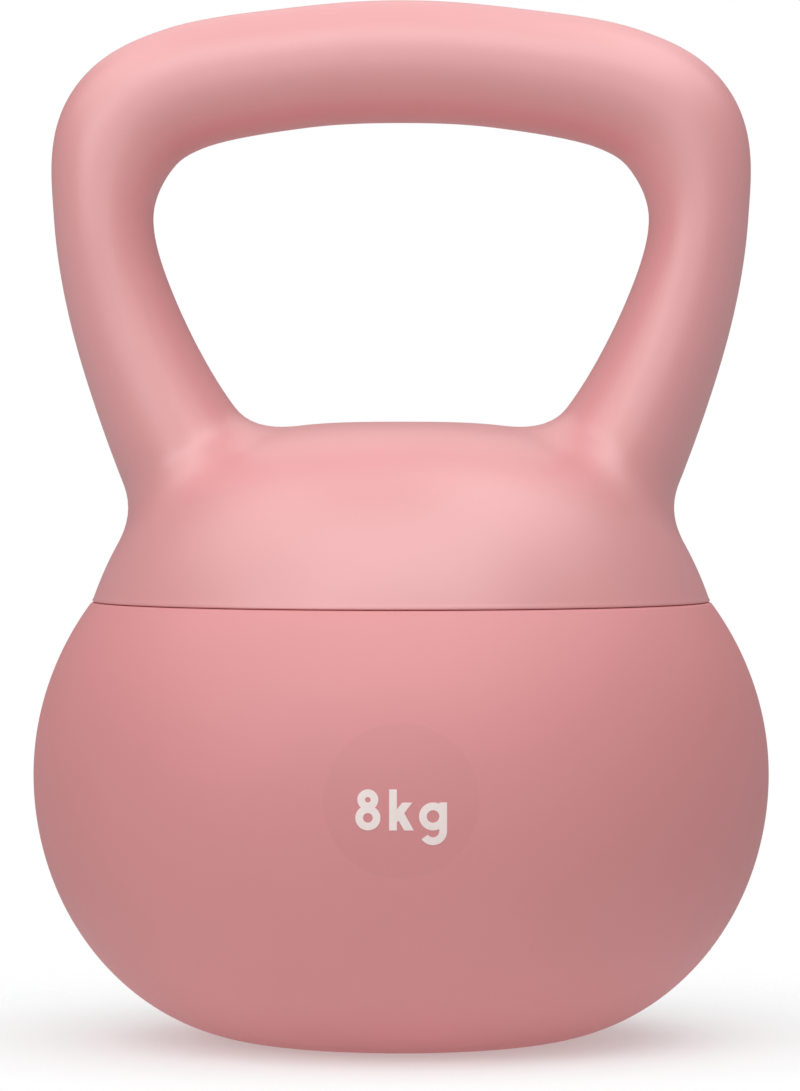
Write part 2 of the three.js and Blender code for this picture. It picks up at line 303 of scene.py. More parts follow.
def loop_discs():
    """Right half of the loop as discs (x, z, half width, squeeze of Y); the left half mirrors it."""
    left = [(-x, z, w, d) for x, z, w, d in LOOP_STATIONS[-2::-1]]
    discs = catmull(LOOP_STATIONS + left, LOOP_STEPS)
    discs = discs[: len(discs) // 2 + 1]
    discs[:, 3] = discs[:, 2] / discs[:, 3]
    return discs


DISCS = loop_discs()


def handle_field(points):
    """Distance to the handle's skin in millimetres, negative inside, and exact only near the skin.

    It joins the loop's discs and the superellipse with a smooth minimum."""
    x, y, z = np.abs(points[:, 0]), points[:, 1], points[:, 2]
    loop = np.full(len(points), np.inf)
    for cx, cz, half, squeeze in DISCS:
        np.minimum(loop, np.sqrt((x - cx) ** 2 + (z - cz) ** 2 + (y * squeeze) ** 2) - half, out=loop)
    out = np.maximum(np.hypot(x, y), 1e-6)
    up = z - SHOULDER_CENTRE
    side = (out / SHOULDER_RADIUS) ** SHOULDER_POWER
    top = (up / SHOULDER_HEIGHT) ** SHOULDER_POWER
    level = side + top
    shoulder = (1 - level ** (-1 / SHOULDER_POWER)) * level / np.hypot(side / out, top / up)
    overlap = np.maximum(BLEND - np.abs(loop - shoulder), 0)
    return np.minimum(loop, shoulder) - overlap**2 / (4 * BLEND)


def shoulder_radius(z):
    """Radius of the bare shoulder at a height."""
    level = 1 - ((z - SHOULDER_CENTRE) / SHOULDER_HEIGHT) ** SHOULDER_POWER
    return SHOULDER_RADIUS * level ** (1 / SHOULDER_POWER)


def surface_nets(values, low, cell):
    """Quads around every crossed grid edge, one vertex in every crossed cell."""
    shape = np.array(values.shape)
    inner = tuple(shape - 1)
    total = np.zeros(inner + (3,))
    count = np.zeros(inner)
    crossed = []
    for axis in range(3):
        near = [slice(0, n) for n in shape]
        far = list(near)
        near[axis], far[axis] = slice(0, -1), slice(1, None)
        a, b = values[tuple(near)], values[tuple(far)]
        cut = (a < 0) != (b < 0)
        cells = np.argwhere(cut)
        spots = low + cell * cells.astype(float)
        spots[:, axis] += cell * a[cut] / (a[cut] - b[cut])
        side, over = (axis + 1) % 3, (axis + 2) % 3
        ring = []
        for d_side, d_over in ((0, 0), (-1, 0), (-1, -1), (0, -1)):
            corner = cells.copy()
            corner[:, side] += d_side
            corner[:, over] += d_over
            np.add.at(total, tuple(corner.T), spots)
            np.add.at(count, tuple(corner.T), 1)
            ring.append(corner)
        crossed.append((ring, a[cut] < 0))
    used = count > 0
    number = np.zeros(inner, int)
    number[used] = np.arange(used.sum())
    faces = []
    for ring, inside in crossed:
        quad = np.stack([number[tuple(corner.T)] for corner in ring], 1)
        faces.append(np.where(inside[:, None], quad, quad[:, ::-1]))
    return total[used] / count[used][:, None], np.concatenate(faces)


def settle(points, inset, steps):
    """Newton steps onto the skin moved inwards by inset."""
    probe = 0.05
    for _ in range(steps):
        value = handle_field(points) + inset
        rises = [handle_field(points + e) - handle_field(points - e) for e in np.eye(3) * probe]
        slope = np.stack([rise / (2 * probe) for rise in rises], 1)
        points = points - (value / (slope**2).sum(1))[:, None] * slope
    return points


def relax(points, faces):
    """Moves every point to the middle of its neighbours."""
    total = np.zeros_like(points)
    count = np.zeros(len(points))
    for k in range(4):
        for other in (faces[:, k - 1], faces[:, (k + 1) % 4]):
            np.add.at(total, faces[:, k], points[other])
            np.add.at(count, faces[:, k], 1)
    return total / count[:, None]


def handle_grid(cell):
    """The grid's lowest corner and the field on it, from below the seam to above the grip.

    The field is worked out on a quarter of the grid and mirrored."""
    reach = math.ceil(BODY_RADIUS / cell) * cell
    low = np.array([-reach, -reach, SEAM_Z - 4 * cell])
    across = np.arange(-reach, reach + cell, cell)
    heights = np.arange(low[2], HEIGHT + 3 * cell, cell)
    grid = np.stack(np.meshgrid(across, across, heights, indexing="ij"), -1)
    middle = (len(across) - 1) // 2
    quarter = grid[middle:, middle:]
    values = handle_field(quarter.reshape(-1, 3)).reshape(quarter.shape[:3])
    values = np.concatenate([values[:0:-1], values])
    values = np.concatenate([values[:, :0:-1], values], 1)
    return low, values


def skin_sheet(low, values, inset, cell, cut_z):
    """The skin moved inwards by inset, open at cut_z, as a bmesh in millimetres."""
    # The net closes on a flat bottom, which is below the height where it is cut open.
    bottom = low[2] + 1.5 * cell
    heights = low[2] + cell * np.arange(values.shape[2])
    points, faces = surface_nets(np.maximum(values + inset, bottom - heights), low, cell)
    free = points[:, 2] > bottom + cell
    for _ in range(3):
        points[free] = relax(points, faces)[free]
        points[free] = settle(points[free], inset, 1)
    points[free] = settle(points[free], inset, 2)
    sheet = bmesh.new()
    verts = [sheet.verts.new(p) for p in points]
    for face in faces:
        sheet.faces.new([verts[i] for i in face])
    everything = sheet.verts[:] + sheet.edges[:] + sheet.faces[:]
    bmesh.ops.bisect_plane(
        sheet, geom=everything, dist=1e-4, plane_co=(0, 0, cut_z), plane_no=(0, 0, 1), clear_inner=True
    )
    return sheet


def open_ring(sheet):
    """The vertices of the sheet's open edge, in order of their angle."""
    edge_verts = {v for e in sheet.edges if e.is_boundary for v in e.verts}
    return sorted(edge_verts, key=lambda v: math.atan2(v.co.y, v.co.x))


def extend_ring(sheet, ring, profile, flip):
    """Adds rings of quads from an open edge along a profile of (radius, z); returns the last ring."""
    for radius, z in profile:
        following = []
        for v in ring:
            angle = math.atan2(v.co.y, v.co.x)
            spot = (radius * math.cos(angle), radius * math.sin(angle), z)
            following.append(sheet.verts.new(spot))
        for i in range(len(ring)):
            quad = [ring[i - 1], ring[i], following[i], following[i - 1]]
            sheet.faces.new(quad[::-1] if flip else quad)
        ring = following
    return ring


def handle_skin():
    """Hollow moulding: outer skin, rounded rim, flat underside and inner wall in one closed mesh."""
    low, values = handle_grid(SKIN_CELL)
    cut_z = SEAM_Z + SKIRT_HEIGHT
    rim_z = SEAM_Z + SEAM_GAP
    skin = skin_sheet(low, values, 0, SKIN_CELL, cut_z)
    corner = shoulder_radius(rim_z) - RIM_ROUND, rim_z + RIM_ROUND
    wall = [(shoulder_radius(z), z) for z in np.linspace(cut_z, corner[1], 5)[1:-1]]
    lip = wall + arc(corner, RIM_ROUND, 0, -90, 6)
    outer = extend_ring(skin, open_ring(skin), lip, True)

    inside = skin_sheet(low, values, HANDLE_WALL, SKIN_CELL, cut_z)
    bmesh.ops.reverse_faces(inside, faces=inside.faces[:])
    inner_radius = shoulder_radius(rim_z) - HANDLE_WALL * WALL_SLANT
    corner = inner_radius + RIM_ROUND, rim_z + RIM_ROUND
    bottom = extend_ring(inside, open_ring(inside), arc(corner, RIM_ROUND, 180, 270, 4), False)
    carry = bpy.data.meshes.new("carry")
    for index, v in enumerate(inside.verts):
        v.index = index
    kept = [v.index for v in bottom]
    inside.to_mesh(carry)
    inside.free()

    start = len(skin.verts)
    skin.from_mesh(carry)
    bpy.data.meshes.remove(carry)
    skin.verts.ensure_lookup_table()
    inner = [skin.verts[start + index] for index in kept]
    stitch(skin, outer, inner)
    bmesh.ops.scale(skin, vec=(MM, MM, MM), verts=skin.verts[:])
    mesh = bpy.data.meshes.new("handle_skin")
    skin.to_mesh(mesh)
    skin.free()
    mesh.shade_smooth()
    return new_object("handle_skin", mesh)


def stitch(sheet, outer, inner):
    """Fills the flat ring between two rings of vertices, each in order of angle, facing down."""
    def angles(ring):
        return [math.atan2(v.co.y, v.co.x) for v in ring]

    a, b = angles(outer), angles(inner)
    i = j = 0
    while i < len(outer) or j < len(inner):
        next_a = a[i + 1] if i + 1 < len(outer) else a[0] + 2 * math.pi
        next_b = b[j + 1] if j + 1 < len(inner) else b[0] + 2 * math.pi
        here_a, here_b = outer[i % len(outer)], inner[j % len(inner)]
        if j >= len(inner) or (i < len(outer) and next_a <= next_b):
            sheet.faces.new([here_a, here_b, outer[(i + 1) % len(outer)]])
            i += 1
        else:
            sheet.faces.new([here_b, inner[(j + 1) % len(inner)], here_a])
            j += 1


# ---- Body ---------------------------------------------------------------------------------------------

def body_radius(z, inset=0.0):
    """Radius of the soft body's skin, moved inwards by inset, at a height."""
    upper = z > BELLY_Z
    flat = 0.0 if upper else BASE_RADIUS
    height = (BODY_CROWN if upper else BELLY_Z) - inset
    level = max(1 - ((z - BELLY_Z) / height) ** 2, 0.0)
    return flat + (BODY_RADIUS - inset - flat) * math.sqrt(level)


def body_slope(z):
    """Change of the body's radius with height."""
    probe = 0.1
    return (body_radius(z + probe) - body_radius(z - probe)) / (2 * probe)


def body_outline(inset, start_z, end_z, steps):
    """The skin's outline between two heights, evenly spaced by angle."""
    def angle(z):
        return math.asin(max((z - BELLY_Z) / ((BODY_CROWN if z > BELLY_Z else BELLY_Z) - inset), -1))

    outline = []
    for a in np.linspace(angle(start_z), angle(end_z), steps + 1):
        z = BELLY_Z + ((BODY_CROWN if a > 0 else BELLY_Z) - inset) * math.sin(a)
        outline.append((body_radius(z, inset), z))
    return outline


def screw_centres():
    """Where the clamp screws stand, as (x, y)."""
    angles = [(k + 0.5) * 2 * math.pi / SCREW_COUNT for k in range(SCREW_COUNT)]
    return [(SCREW_CIRCLE * math.cos(a), SCREW_CIRCLE * math.sin(a)) for a in angles]


def rod(x, y, radius, low, high, sides=24):
    """A plain cutter or boss, upright at x, y."""
    made = bmesh.new()
    size = {"radius1": radius * MM, "radius2": radius * MM, "depth": (high - low) * MM}
    bmesh.ops.create_cone(made, cap_ends=True, segments=sides, **size)
    bmesh.ops.translate(made, verts=made.verts[:], vec=Vector((x, y, (low + high) / 2)) * MM)
    return made


def block(length, width, low, high, middle=(0, 0), turn=0.0):
    """A plain box centred at middle, turned about its own upright axis."""
    made = bmesh.new()
    bmesh.ops.create_cube(made, size=MM)
    bmesh.ops.scale(made, vec=(length, width, high - low), verts=made.verts[:])
    bmesh.ops.rotate(made, matrix=Matrix.Rotation(turn, 3, "Z"), verts=made.verts[:])
    bmesh.ops.translate(made, verts=made.verts[:], vec=Vector((*middle, (low + high) / 2)) * MM)
    return made


def combine(piece, solids, operation):
    """Joins solids to the piece or cuts them from it, with exact booleans, and frees them."""
    together = bmesh.new()
    for solid in solids:
        carry = bpy.data.meshes.new("carry")
        solid.to_mesh(carry)
        solid.free()
        together.from_mesh(carry)
        bpy.data.meshes.remove(carry)
    mesh = bpy.data.meshes.new("tool")
    together.to_mesh(mesh)
    together.free()
    tool = new_object("tool", mesh)
    step = piece.modifiers.new("tool", "BOOLEAN")
    step.object = tool
    step.operation = operation
    step.solver = "EXACT"
    step.use_self = operation == "UNION"
    apply_modifiers(piece)
    bpy.data.objects.remove(tool)


def drill(piece, radius, low, high):
    """Cuts all the screw holes into a piece."""
    combine(piece, [rod(x, y, radius, low, high) for x, y in screw_centres()], "DIFFERENCE")


def apply_modifiers(piece):
    """Makes the result of the piece's modifiers its mesh."""
    evaluated = piece.evaluated_get(bpy.context.evaluated_depsgraph_get())
    mesh = bpy.data.meshes.new_from_object(evaluated)
    piece.modifiers.clear()
    piece.data = mesh


def body_skin():
    """Soft moulding: outer skin, ledge, collar, neck flange and inner wall in one closed mesh."""
    recess = PAD_THICK + GAP
    edge, fillet, lip = 0.5, 0.8, 1
    slope = math.atan(-body_slope(SEAM_Z))
    bend_z = SEAM_Z - LEDGE_ROUND * (1 - math.sin(slope))
    ledge = body_radius(bend_z) - LEDGE_ROUND * math.cos(slope)
    outside = [
        (PORT_HOLE, recess),
        (PAD_RADIUS + GAP, recess),
        *rounded(PAD_RADIUS + GAP, 0, edge, 180, 4),
        *body_outline(0, 0, bend_z, 90),
        *arc((ledge, SEAM_Z - LEDGE_ROUND), LEDGE_ROUND, math.degrees(slope), 90, 7)[1:],
        (COLLAR_RADIUS + fillet, SEAM_Z),
        *arc((COLLAR_RADIUS + fillet, SEAM_Z + fillet), fillet, 270, 180, 4),
        *rounded(COLLAR_RADIUS, COLLAR_TOP, lip, 0, 4),
    ]
    inside = [
        *rounded(NECK_RADIUS, COLLAR_TOP, lip, 90, 4),
        *rounded(NECK_RADIUS, COLLAR_TOP - BODY_WALL, lip, 180, 4),
        (COLLAR_RADIUS - BODY_WALL, COLLAR_TOP - BODY_WALL),
        (COLLAR_RADIUS - BODY_WALL, SEAM_Z - BODY_WALL),
        *body_outline(BODY_WALL, recess + BODY_WALL, SEAM_Z - BODY_WALL, 60)[::-1],
        (PORT_HOLE, recess + BODY_WALL),
    ]
    skin = revolve("body_skin", outside + inside, BODY_FACETS)
    drill(skin, SCREW_HOLE, COLLAR_TOP - BODY_WALL - 2, COLLAR_TOP + 2)
    sharpen(skin, 50)
    return skin


def base_pad():
    """Rubber disc with shallow ring grooves for grip, standing on the floor."""
    wide, narrow, edge = 0.9, 0.6, 0.7
    grooves = []
    for index in range(RING_COUNT):
        centre = RING_OUTER - index * RING_PITCH
        grooves += [(centre + wide, 0), (centre + narrow, RING_DEPTH)]
        grooves += [(centre - narrow, RING_DEPTH), (centre - wide, 0)]
    profile = [
        (0, 0),
        *grooves[::-1],
        *rounded(PAD_RADIUS, 0, edge, 270, 5),
        (PAD_RADIUS, PAD_THICK),
        (0, PAD_THICK),
    ]
    pad = revolve("grip_pad", profile, SMALL_FACETS)
    sharpen(pad, 35)
    return pad


# ---- Inner pieces, each where its CAD node is ---------------------------------------------------------

def span(node):
    """Lowest and highest z of a CAD node and its reach along X, in millimetres."""
    low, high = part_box(node)
    return low.z / MM, high.z / MM, high.x / MM


def joint_ring(name, node, edge):
    """Flat drilled ring of the neck joint."""
    low, high, outer = span(node)
    ring = revolve(name, rounded_ring(NECK_RADIUS + 1, outer, low, high, edge), RING_FACETS)
    drill(ring, SCREW_HOLE, low - 1, high + 1)
    sharpen(ring, 40)
    return ring


def seat_plate():
    """Plate with a hub, a blind boss for each screw and a rib to each boss.

    Its edge is rounded below, and it tapers up to a chamfer to clear the handle's wall."""
    low, high, outer = span("handle_seat")
    top = low + SEAT_THICK
    taper, chamfer, edge = 2.9, (0.7, 0.6), 1
    profile = [
        (0, low),
        *rounded(outer, low, edge, 270, 4),
        (outer - taper, top - chamfer[1]),
        (outer - taper - chamfer[0], top),
        (0, top),
    ]
    plate = revolve("seat_plate", profile, RING_FACETS)
    buried = low + 2
    solids = [rod(0, 0, HUB_RADIUS, buried, high, 48)]
    for x, y in screw_centres():
        turn = math.atan2(y, x)
        middle = (0.5 * x, 0.5 * y)
        solids.append(rod(x, y, BOSS_RADIUS, buried, high, 32))
        solids.append(block(SCREW_CIRCLE, RIB_WIDTH, buried, high - RIB_DROP, middle, turn))
    combine(plate, solids, "UNION")
    drill(plate, SCREW_HOLE, low - 1, span("clamp_screw_1")[1] + GAP)
    sharpen(plate, 30)
    return plate


def clamp_screw(index):
    """Pan head screw with a rolled thread and a hexagon socket."""
    low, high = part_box(f"clamp_screw_{index}")
    centre = (low + high) / 2
    bottom, tip = low.z / MM, high.z / MM
    neck = bottom + SCREW_HEAD_HEIGHT
    crown = SCREW_HEAD - SCREW_HEAD_ROUND
    chamfer, plain, point = 0.3, 0.6, 0.7
    start, end = neck + plain, tip - SCREW_PITCH
    profile = [
        (0, bottom),
        (crown, bottom),
        *arc((crown, bottom + SCREW_HEAD_ROUND), SCREW_HEAD_ROUND, 280, 350, 5),
        (SCREW_HEAD, neck - chamfer),
        (SCREW_HEAD - chamfer, neck),
        (SCREW_RADIUS, neck),
        *threaded_rows(SCREW_RADIUS, start, end, SCREW_PITCH),
        (SCREW_RADIUS - point, tip),
        (0, tip),
    ]
    cut = thread(start, end, SCREW_PITCH, SCREW_THREAD)
    screw = revolve(f"screw_{index}", profile, SCREW_FACETS, cut)
    socket = rod(0, 0, SOCKET_RADIUS, bottom - 1, bottom + SOCKET_DEPTH, 6)
    combine(screw, [socket], "DIFFERENCE")
    screw.location = (centre.x, centre.y, 0)
    sharpen(screw, 40)
    return screw


def sand_fill():
    """Iron sand: it follows the body's wall, and its top is heaped a little and gently uneven."""
    low, high, _ = span("iron_sand")
    _, collar_top, flange = span("filler_collar")
    flange_top = low + FLANGE_THICK + GAP
    level = high - SAND_GAP
    heap = level + SAND_HEAP
    outline = body_outline(BODY_WALL + SAND_GAP, low, level, 70)
    top = [(radius, heap) for radius in np.linspace(outline[-1][0] - 1, 2, 40)]
    profile = [
        (0, collar_top + GAP),
        (PORT_OUTER + GAP, collar_top + GAP),
        (PORT_OUTER + GAP, flange_top),
        (flange + GAP, flange_top),
        (flange + GAP, low),
        *outline,
        *top,
        (0, heap),
    ]

    def settle_top(radius, z, angle):
        if radius == 0 or z < heap - 0.1:
            return radius, z
        x, y = radius * math.cos(angle), radius * math.sin(angle)
        wave = math.sin(0.31 * x + 1.2) * math.sin(0.27 * y + 0.5) + 0.5 * math.sin(0.9 * x - 0.7 * y)
        return radius, z + SAND_WAVE * wave

    fill = revolve("sand_fill", profile, SAND_FACETS, settle_top)
    sharpen(fill, 50)
    return fill


def port_collar():
    """Rigid threaded collar with its flange inside the base."""
    low, high, flange = span("filler_collar")
    under = low + BODY_WALL
    flange_top = under + FLANGE_THICK
    step = span("plug_seal")[1] + GAP
    fillet, plain = 0.6, 0.4
    start, end = step + plain, high - plain
    profile = [
        *rounded(PORT_SEAT, low, 0.2, 180, 2),
        *rounded(PORT_OUTER, low, 0.3, 270, 2),
        (PORT_OUTER, under),
        *rounded(flange, under, 0.5, 270, 3),
        *rounded(flange, flange_top, 0.8, 0, 3),
        *arc((PORT_OUTER + fillet, flange_top + fillet), fillet, 270, 180, 3),
        *rounded(PORT_OUTER, high, 0.4, 0, 3),
        (PORT_RADIUS, high),
        *threaded_rows(PORT_RADIUS, start, end, PLUG_PITCH)[::-1],
        (PORT_RADIUS, step),
        (PORT_SEAT, step),
    ]
    collar = revolve("port_collar", profile, SMALL_FACETS, thread(start, end, PLUG_PITCH, -COLLAR_THREAD))
    sharpen(collar, 40)
    return collar


def port_plug():
    """Threaded plug with a coin slot across its head."""
    low, high, head = span("filler_plug")
    head_top = low + PLUG_HEAD
    chamfer, plain, point = 0.2, 1.2, 1
    start, end = head_top + plain, high - point
    profile = [
        (0, low),
        *rounded(head, low, 0.4, 270, 3),
        (head, head_top - chamfer),
        (head - chamfer, head_top),
        (PLUG_RADIUS, head_top),
        *threaded_rows(PLUG_RADIUS, start, end, PLUG_PITCH),
        (PLUG_RADIUS - point, high),
        (0, high),
    ]
    plug = revolve("port_plug", profile, SMALL_FACETS, thread(start, end, PLUG_PITCH, PLUG_THREAD))
    length, width, depth = COIN_SLOT
    combine(plug, [block(length, width, low - 1, low + depth)], "DIFFERENCE")
    sharpen(plug, 40)
    return plug


def seal_ring():
    """O-ring between the plug's head and the collar."""
    low, high, outer = span("plug_seal")
    section = (high - low) / 2
    ring = arc((outer - section, low + section), section, 0, 360, 20)[:-1]
    return revolve("seal_ring", ring, SMALL_FACETS)


# ---- Mass mark: own letterforms from arcs and bars ----------------------------------------------------

def figure_eight():
    """Two stacked rings, the lower one larger: their joined outline and two holes; and the width."""
    low_r = 0.305 * MARK_HEIGHT
    top_r = 0.255 * MARK_HEIGHT
    low, top = (low_r, low_r), (low_r, MARK_HEIGHT - top_r)
    apart = top[1] - low[1]
    rise = (apart**2 + low_r**2 - top_r**2) / (2 * apart)
    reach = math.sqrt(low_r**2 - rise**2)
    low_angle = math.degrees(math.atan2(rise, reach))
    top_angle = math.degrees(math.atan2(rise - apart, reach))
    outline = arc(low, low_r, 180 - low_angle, 360 + low_angle, 40)[:-1]
    outline += arc(top, top_r, top_angle, 180 - top_angle, 40)[:-1]
    holes = [arc(centre, r - MARK_STROKE, 0, 360, 40)[:-1] for centre, r in ((low, low_r), (top, top_r))]
    return [outline, *holes], 2 * low_r


def small_k():
    """A tall bar with two slanting arms at two thirds of its height."""
    bar, tall, arms = MARK_STROKE, MARK_HEIGHT, 0.68 * MARK_HEIGHT
    foot = [(0, 0), (bar, 0), (bar, 0.28 * arms), (1.2 * bar, 0.36 * arms)]
    lower_arm = [(1.95 * bar, 0), (3.2 * bar, 0), (1.95 * bar, 0.62 * arms)]
    upper_arm = [(3 * bar, arms), (1.7 * bar, arms), (bar, 0.76 * arms)]
    outline = foot + lower_arm + upper_arm + [(bar, tall), (0, tall)]
    return [outline], 3.2 * bar


def small_g():
    """A round bowl against a bar that turns back under it in a hook."""
    bowl = 0.34 * MARK_HEIGHT
    inner = bowl - MARK_STROKE
    meet = math.degrees(math.acos(inner / bowl))
    hook = (bowl, -0.02 * MARK_HEIGHT)
    outline = [(2 * bowl, 2 * bowl), *arc(hook, bowl, 0, -145, 28), *arc(hook, inner, -145, 0, 28)]
    outline += arc((bowl, bowl), bowl, -meet, meet - 360, 56)
    outline.append((bowl + inner, 2 * bowl))
    return [outline, arc((bowl, bowl), inner, 0, 360, 40)[:-1]], 2 * bowl


def on_body(x, z, lift):
    """The point of the body's front at this x and height, lifted off the skin."""
    radius = body_radius(z)
    y = -math.sqrt(radius**2 - x**2)
    normal = Vector((x, y, -body_slope(z) * radius)).normalized()
    return Vector((x, y, z)) + normal * lift


def printed_glyph(name, loops, shift_x):
    """A thin solid that follows the body's skin, from an outline and the outlines of its holes."""
    flat = bmesh.new()
    edges = []
    for loop in loops:
        verts = [flat.verts.new((x + shift_x, 0, z)) for x, z in loop]
        edges += [flat.edges.new((verts[k - 1], verts[k])) for k in range(len(verts))]
    bmesh.ops.triangle_fill(flat, use_beauty=True, edges=edges, normal=(0, -1, 0))
    # A grid of cuts lets the flat faces bend with the body.
    for axis in (0, 2):
        normal = [0, 0, 0]
        normal[axis] = 1
        values = [v.co[axis] for v in flat.verts]
        for cut in np.arange(math.floor(min(values)) + MARK_GRID / 2, max(values), MARK_GRID):
            spot = [0, 0, 0]
            spot[axis] = cut
            everything = flat.verts[:] + flat.edges[:] + flat.faces[:]
            bmesh.ops.bisect_plane(flat, geom=everything, dist=1e-5, plane_co=spot, plane_no=normal)
    bmesh.ops.dissolve_degenerate(flat, dist=0.01, edges=flat.edges[:])
    made = bmesh.ops.extrude_face_region(flat, geom=flat.faces[:])
    lifted = {v for v in made["geom"] if isinstance(v, bmesh.types.BMVert)}
    for v in flat.verts:
        x, z = v.co.x, v.co.z + MARK_Z - MARK_HEIGHT / 2
        v.co = on_body(x, z, MARK_THICK if v in lifted else -MARK_SUNK) * MM
    bmesh.ops.recalc_face_normals(flat, faces=flat.faces[:])
    mesh = bpy.data.meshes.new(name)
    flat.to_mesh(mesh)
    flat.free()
    return new_object(name, mesh)


def mass_mark():
    """The generic mass mark, centred on the front of the body."""
    glyphs = [("mark_eight", *figure_eight()), ("mark_k", *small_k()), ("mark_g", *small_g())]
    width = sum(glyph[2] for glyph in glyphs) + sum(MARK_GAPS)
    left = -width / 2
    marks = []
    for (name, loops, glyph_width), gap in zip(glyphs, (*MARK_GAPS, 0)):
        marks.append(printed_glyph(name, loops, left))
        left += glyph_width + gap
    return marks


# ---- Materials ----------------------------------------------------------------------------------------

def linear(red, green, blue):
    """Linear colour from the 0 to 255 values that a screen shows."""
    values = [c / 255 for c in (red, green, blue)]
    return tuple(c / 12.92 if c <= 0.04045 else ((c + 0.055) / 1.055) ** 2.4 for c in values) + (1,)


def material(name, **sockets):
    """A Principled material with its constant sockets set, and its tree, for the nodes to come."""
    made = bpy.data.materials.new(name)
    made.use_nodes = True
    tree = made.node_tree
    shader = tree.nodes["Principled BSDF"]
    for socket, value in sockets.items():
        shader.inputs[socket.replace("_", " ")].default_value = value
    return made, tree, shader


def object_noise(tree, scale, detail=3.0, roughness=0.5):
    """Noise in the object's own coordinates, in metres."""
    coordinates = tree.nodes.new("ShaderNodeTexCoord")
    noise = tree.nodes.new("ShaderNodeTexNoise")
    noise.inputs["Scale"].default_value = scale
    noise.inputs["Detail"].default_value = detail
    noise.inputs["Roughness"].default_value = roughness
    tree.links.new(coordinates.outputs["Object"], noise.inputs["Vector"])
    return noise.outputs["Fac"]


def blend_colours(tree, factor, dark, light, low=0.35, high=0.65):
    """A colour between dark and light, as the factor goes from low to high."""
    ramp = tree.nodes.new("ShaderNodeValToRGB")
    ramp.color_ramp.elements[0].position = low
    ramp.color_ramp.elements[0].color = dark
    ramp.color_ramp.elements[1].position = high
    ramp.color_ramp.elements[1].color = light
    tree.links.new(factor, ramp.inputs["Fac"])
    return ramp.outputs["Color"]


def spread(tree, factor, low, high):
    """The factor mapped to a range of numbers."""
    node = tree.nodes.new("ShaderNodeMapRange")
    node.inputs["To Min"].default_value = low
    node.inputs["To Max"].default_value = high
    tree.links.new(factor, node.inputs["Value"])
    return node.outputs["Result"]


def bump(tree, shader, height, distance, strength):
    """Relief of the given depth, in metres."""
    node = tree.nodes.new("ShaderNodeBump")
    node.inputs["Distance"].default_value = distance
    node.inputs["Strength"].default_value = strength
    tree.links.new(height, node.inputs["Height"])
    tree.links.new(node.outputs["Normal"], shader.inputs["Normal"])


def shade(colour, factor):
    """The colour made darker or lighter."""
    return tuple(c * factor for c in colour[:3]) + (1,)


def handle_plastic():
    """Smooth satin moulded plastic with a trace of moulding grain."""
    made, tree, shader = material("handle_plastic", IOR=1.65, Specular_IOR_Level=1.0)
    base = linear(229, 155, 157)
    tone = blend_colours(tree, object_noise(tree, 18, 2), shade(base, 0.985), shade(base, 1.015))
    tree.links.new(tone, shader.inputs["Base Color"])
    tree.links.new(spread(tree, object_noise(tree, 60, 3), 0.38, 0.46), shader.inputs["Roughness"])
    bump(tree, shader, object_noise(tree, 2600, 2), 0.00002, 0.35)
    return made


def round_patch(tree, z, radius):
    """1 inside a circle on the front of the object, 0 outside it; z and radius in millimetres."""
    coordinates = tree.nodes.new("ShaderNodeTexCoord")
    flat = tree.nodes.new("ShaderNodeVectorMath")
    flat.operation = "MULTIPLY"
    flat.inputs[1].default_value = (1, 0, 1)
    away = tree.nodes.new("ShaderNodeVectorMath")
    away.operation = "DISTANCE"
    away.inputs[1].default_value = (0, 0, z * MM)
    edge = tree.nodes.new("ShaderNodeMapRange")
    edge.inputs["From Min"].default_value = (radius + PATCH_EDGE) * MM
    edge.inputs["From Max"].default_value = (radius - PATCH_EDGE) * MM
    parts = tree.nodes.new("ShaderNodeSeparateXYZ")
    front = tree.nodes.new("ShaderNodeMath")
    front.operation = "LESS_THAN"
    front.inputs[1].default_value = 0.0
    both = tree.nodes.new("ShaderNodeMath")
    both.operation = "MULTIPLY"
    tree.links.new(coordinates.outputs["Object"], flat.inputs[0])
    tree.links.new(flat.outputs["Vector"], away.inputs[0])
    tree.links.new(away.outputs["Value"], edge.inputs["Value"])
    tree.links.new(coordinates.outputs["Object"], parts.inputs["Vector"])
    tree.links.new(parts.outputs["Y"], front.inputs[0])
    tree.links.new(edge.outputs["Result"], both.inputs[0])
    tree.links.new(front.outputs["Value"], both.inputs[1])
    return both.outputs["Value"]


def mixed(tree, factor, first, second):
    """The first colour socket where the factor is 0, the second where it is 1."""
    node = tree.nodes.new("ShaderNodeMix")
    node.data_type = "RGBA"
    tree.links.new(factor, node.inputs["Factor"])
    for socket, colour in (("A", first), ("B", second)):
        target = next(i for i in node.inputs if i.name == socket and i.type == "RGBA")
        tree.links.new(colour, target)
    return next(o for o in node.outputs if o.type == "RGBA")


def body_vinyl():
    """Soft matte vinyl: finer grain, duller, with a faint round tone behind the mass mark."""
    made, tree, shader = material("body_vinyl", IOR=1.5, Specular_IOR_Level=0.8)
    base = linear(225, 146, 148)
    cloud = object_noise(tree, 14, 2)
    tone = blend_colours(tree, cloud, shade(base, 0.98), shade(base, 1.02))
    deeper = blend_colours(tree, cloud, shade(base, 0.945), shade(base, 0.985))
    patched = mixed(tree, round_patch(tree, PATCH_Z, PATCH_RADIUS), tone, deeper)
    tree.links.new(patched, shader.inputs["Base Color"])
    tree.links.new(spread(tree, object_noise(tree, 50, 3), 0.5, 0.6), shader.inputs["Roughness"])
    bump(tree, shader, object_noise(tree, 1800, 3), 0.00003, 0.5)
    return made


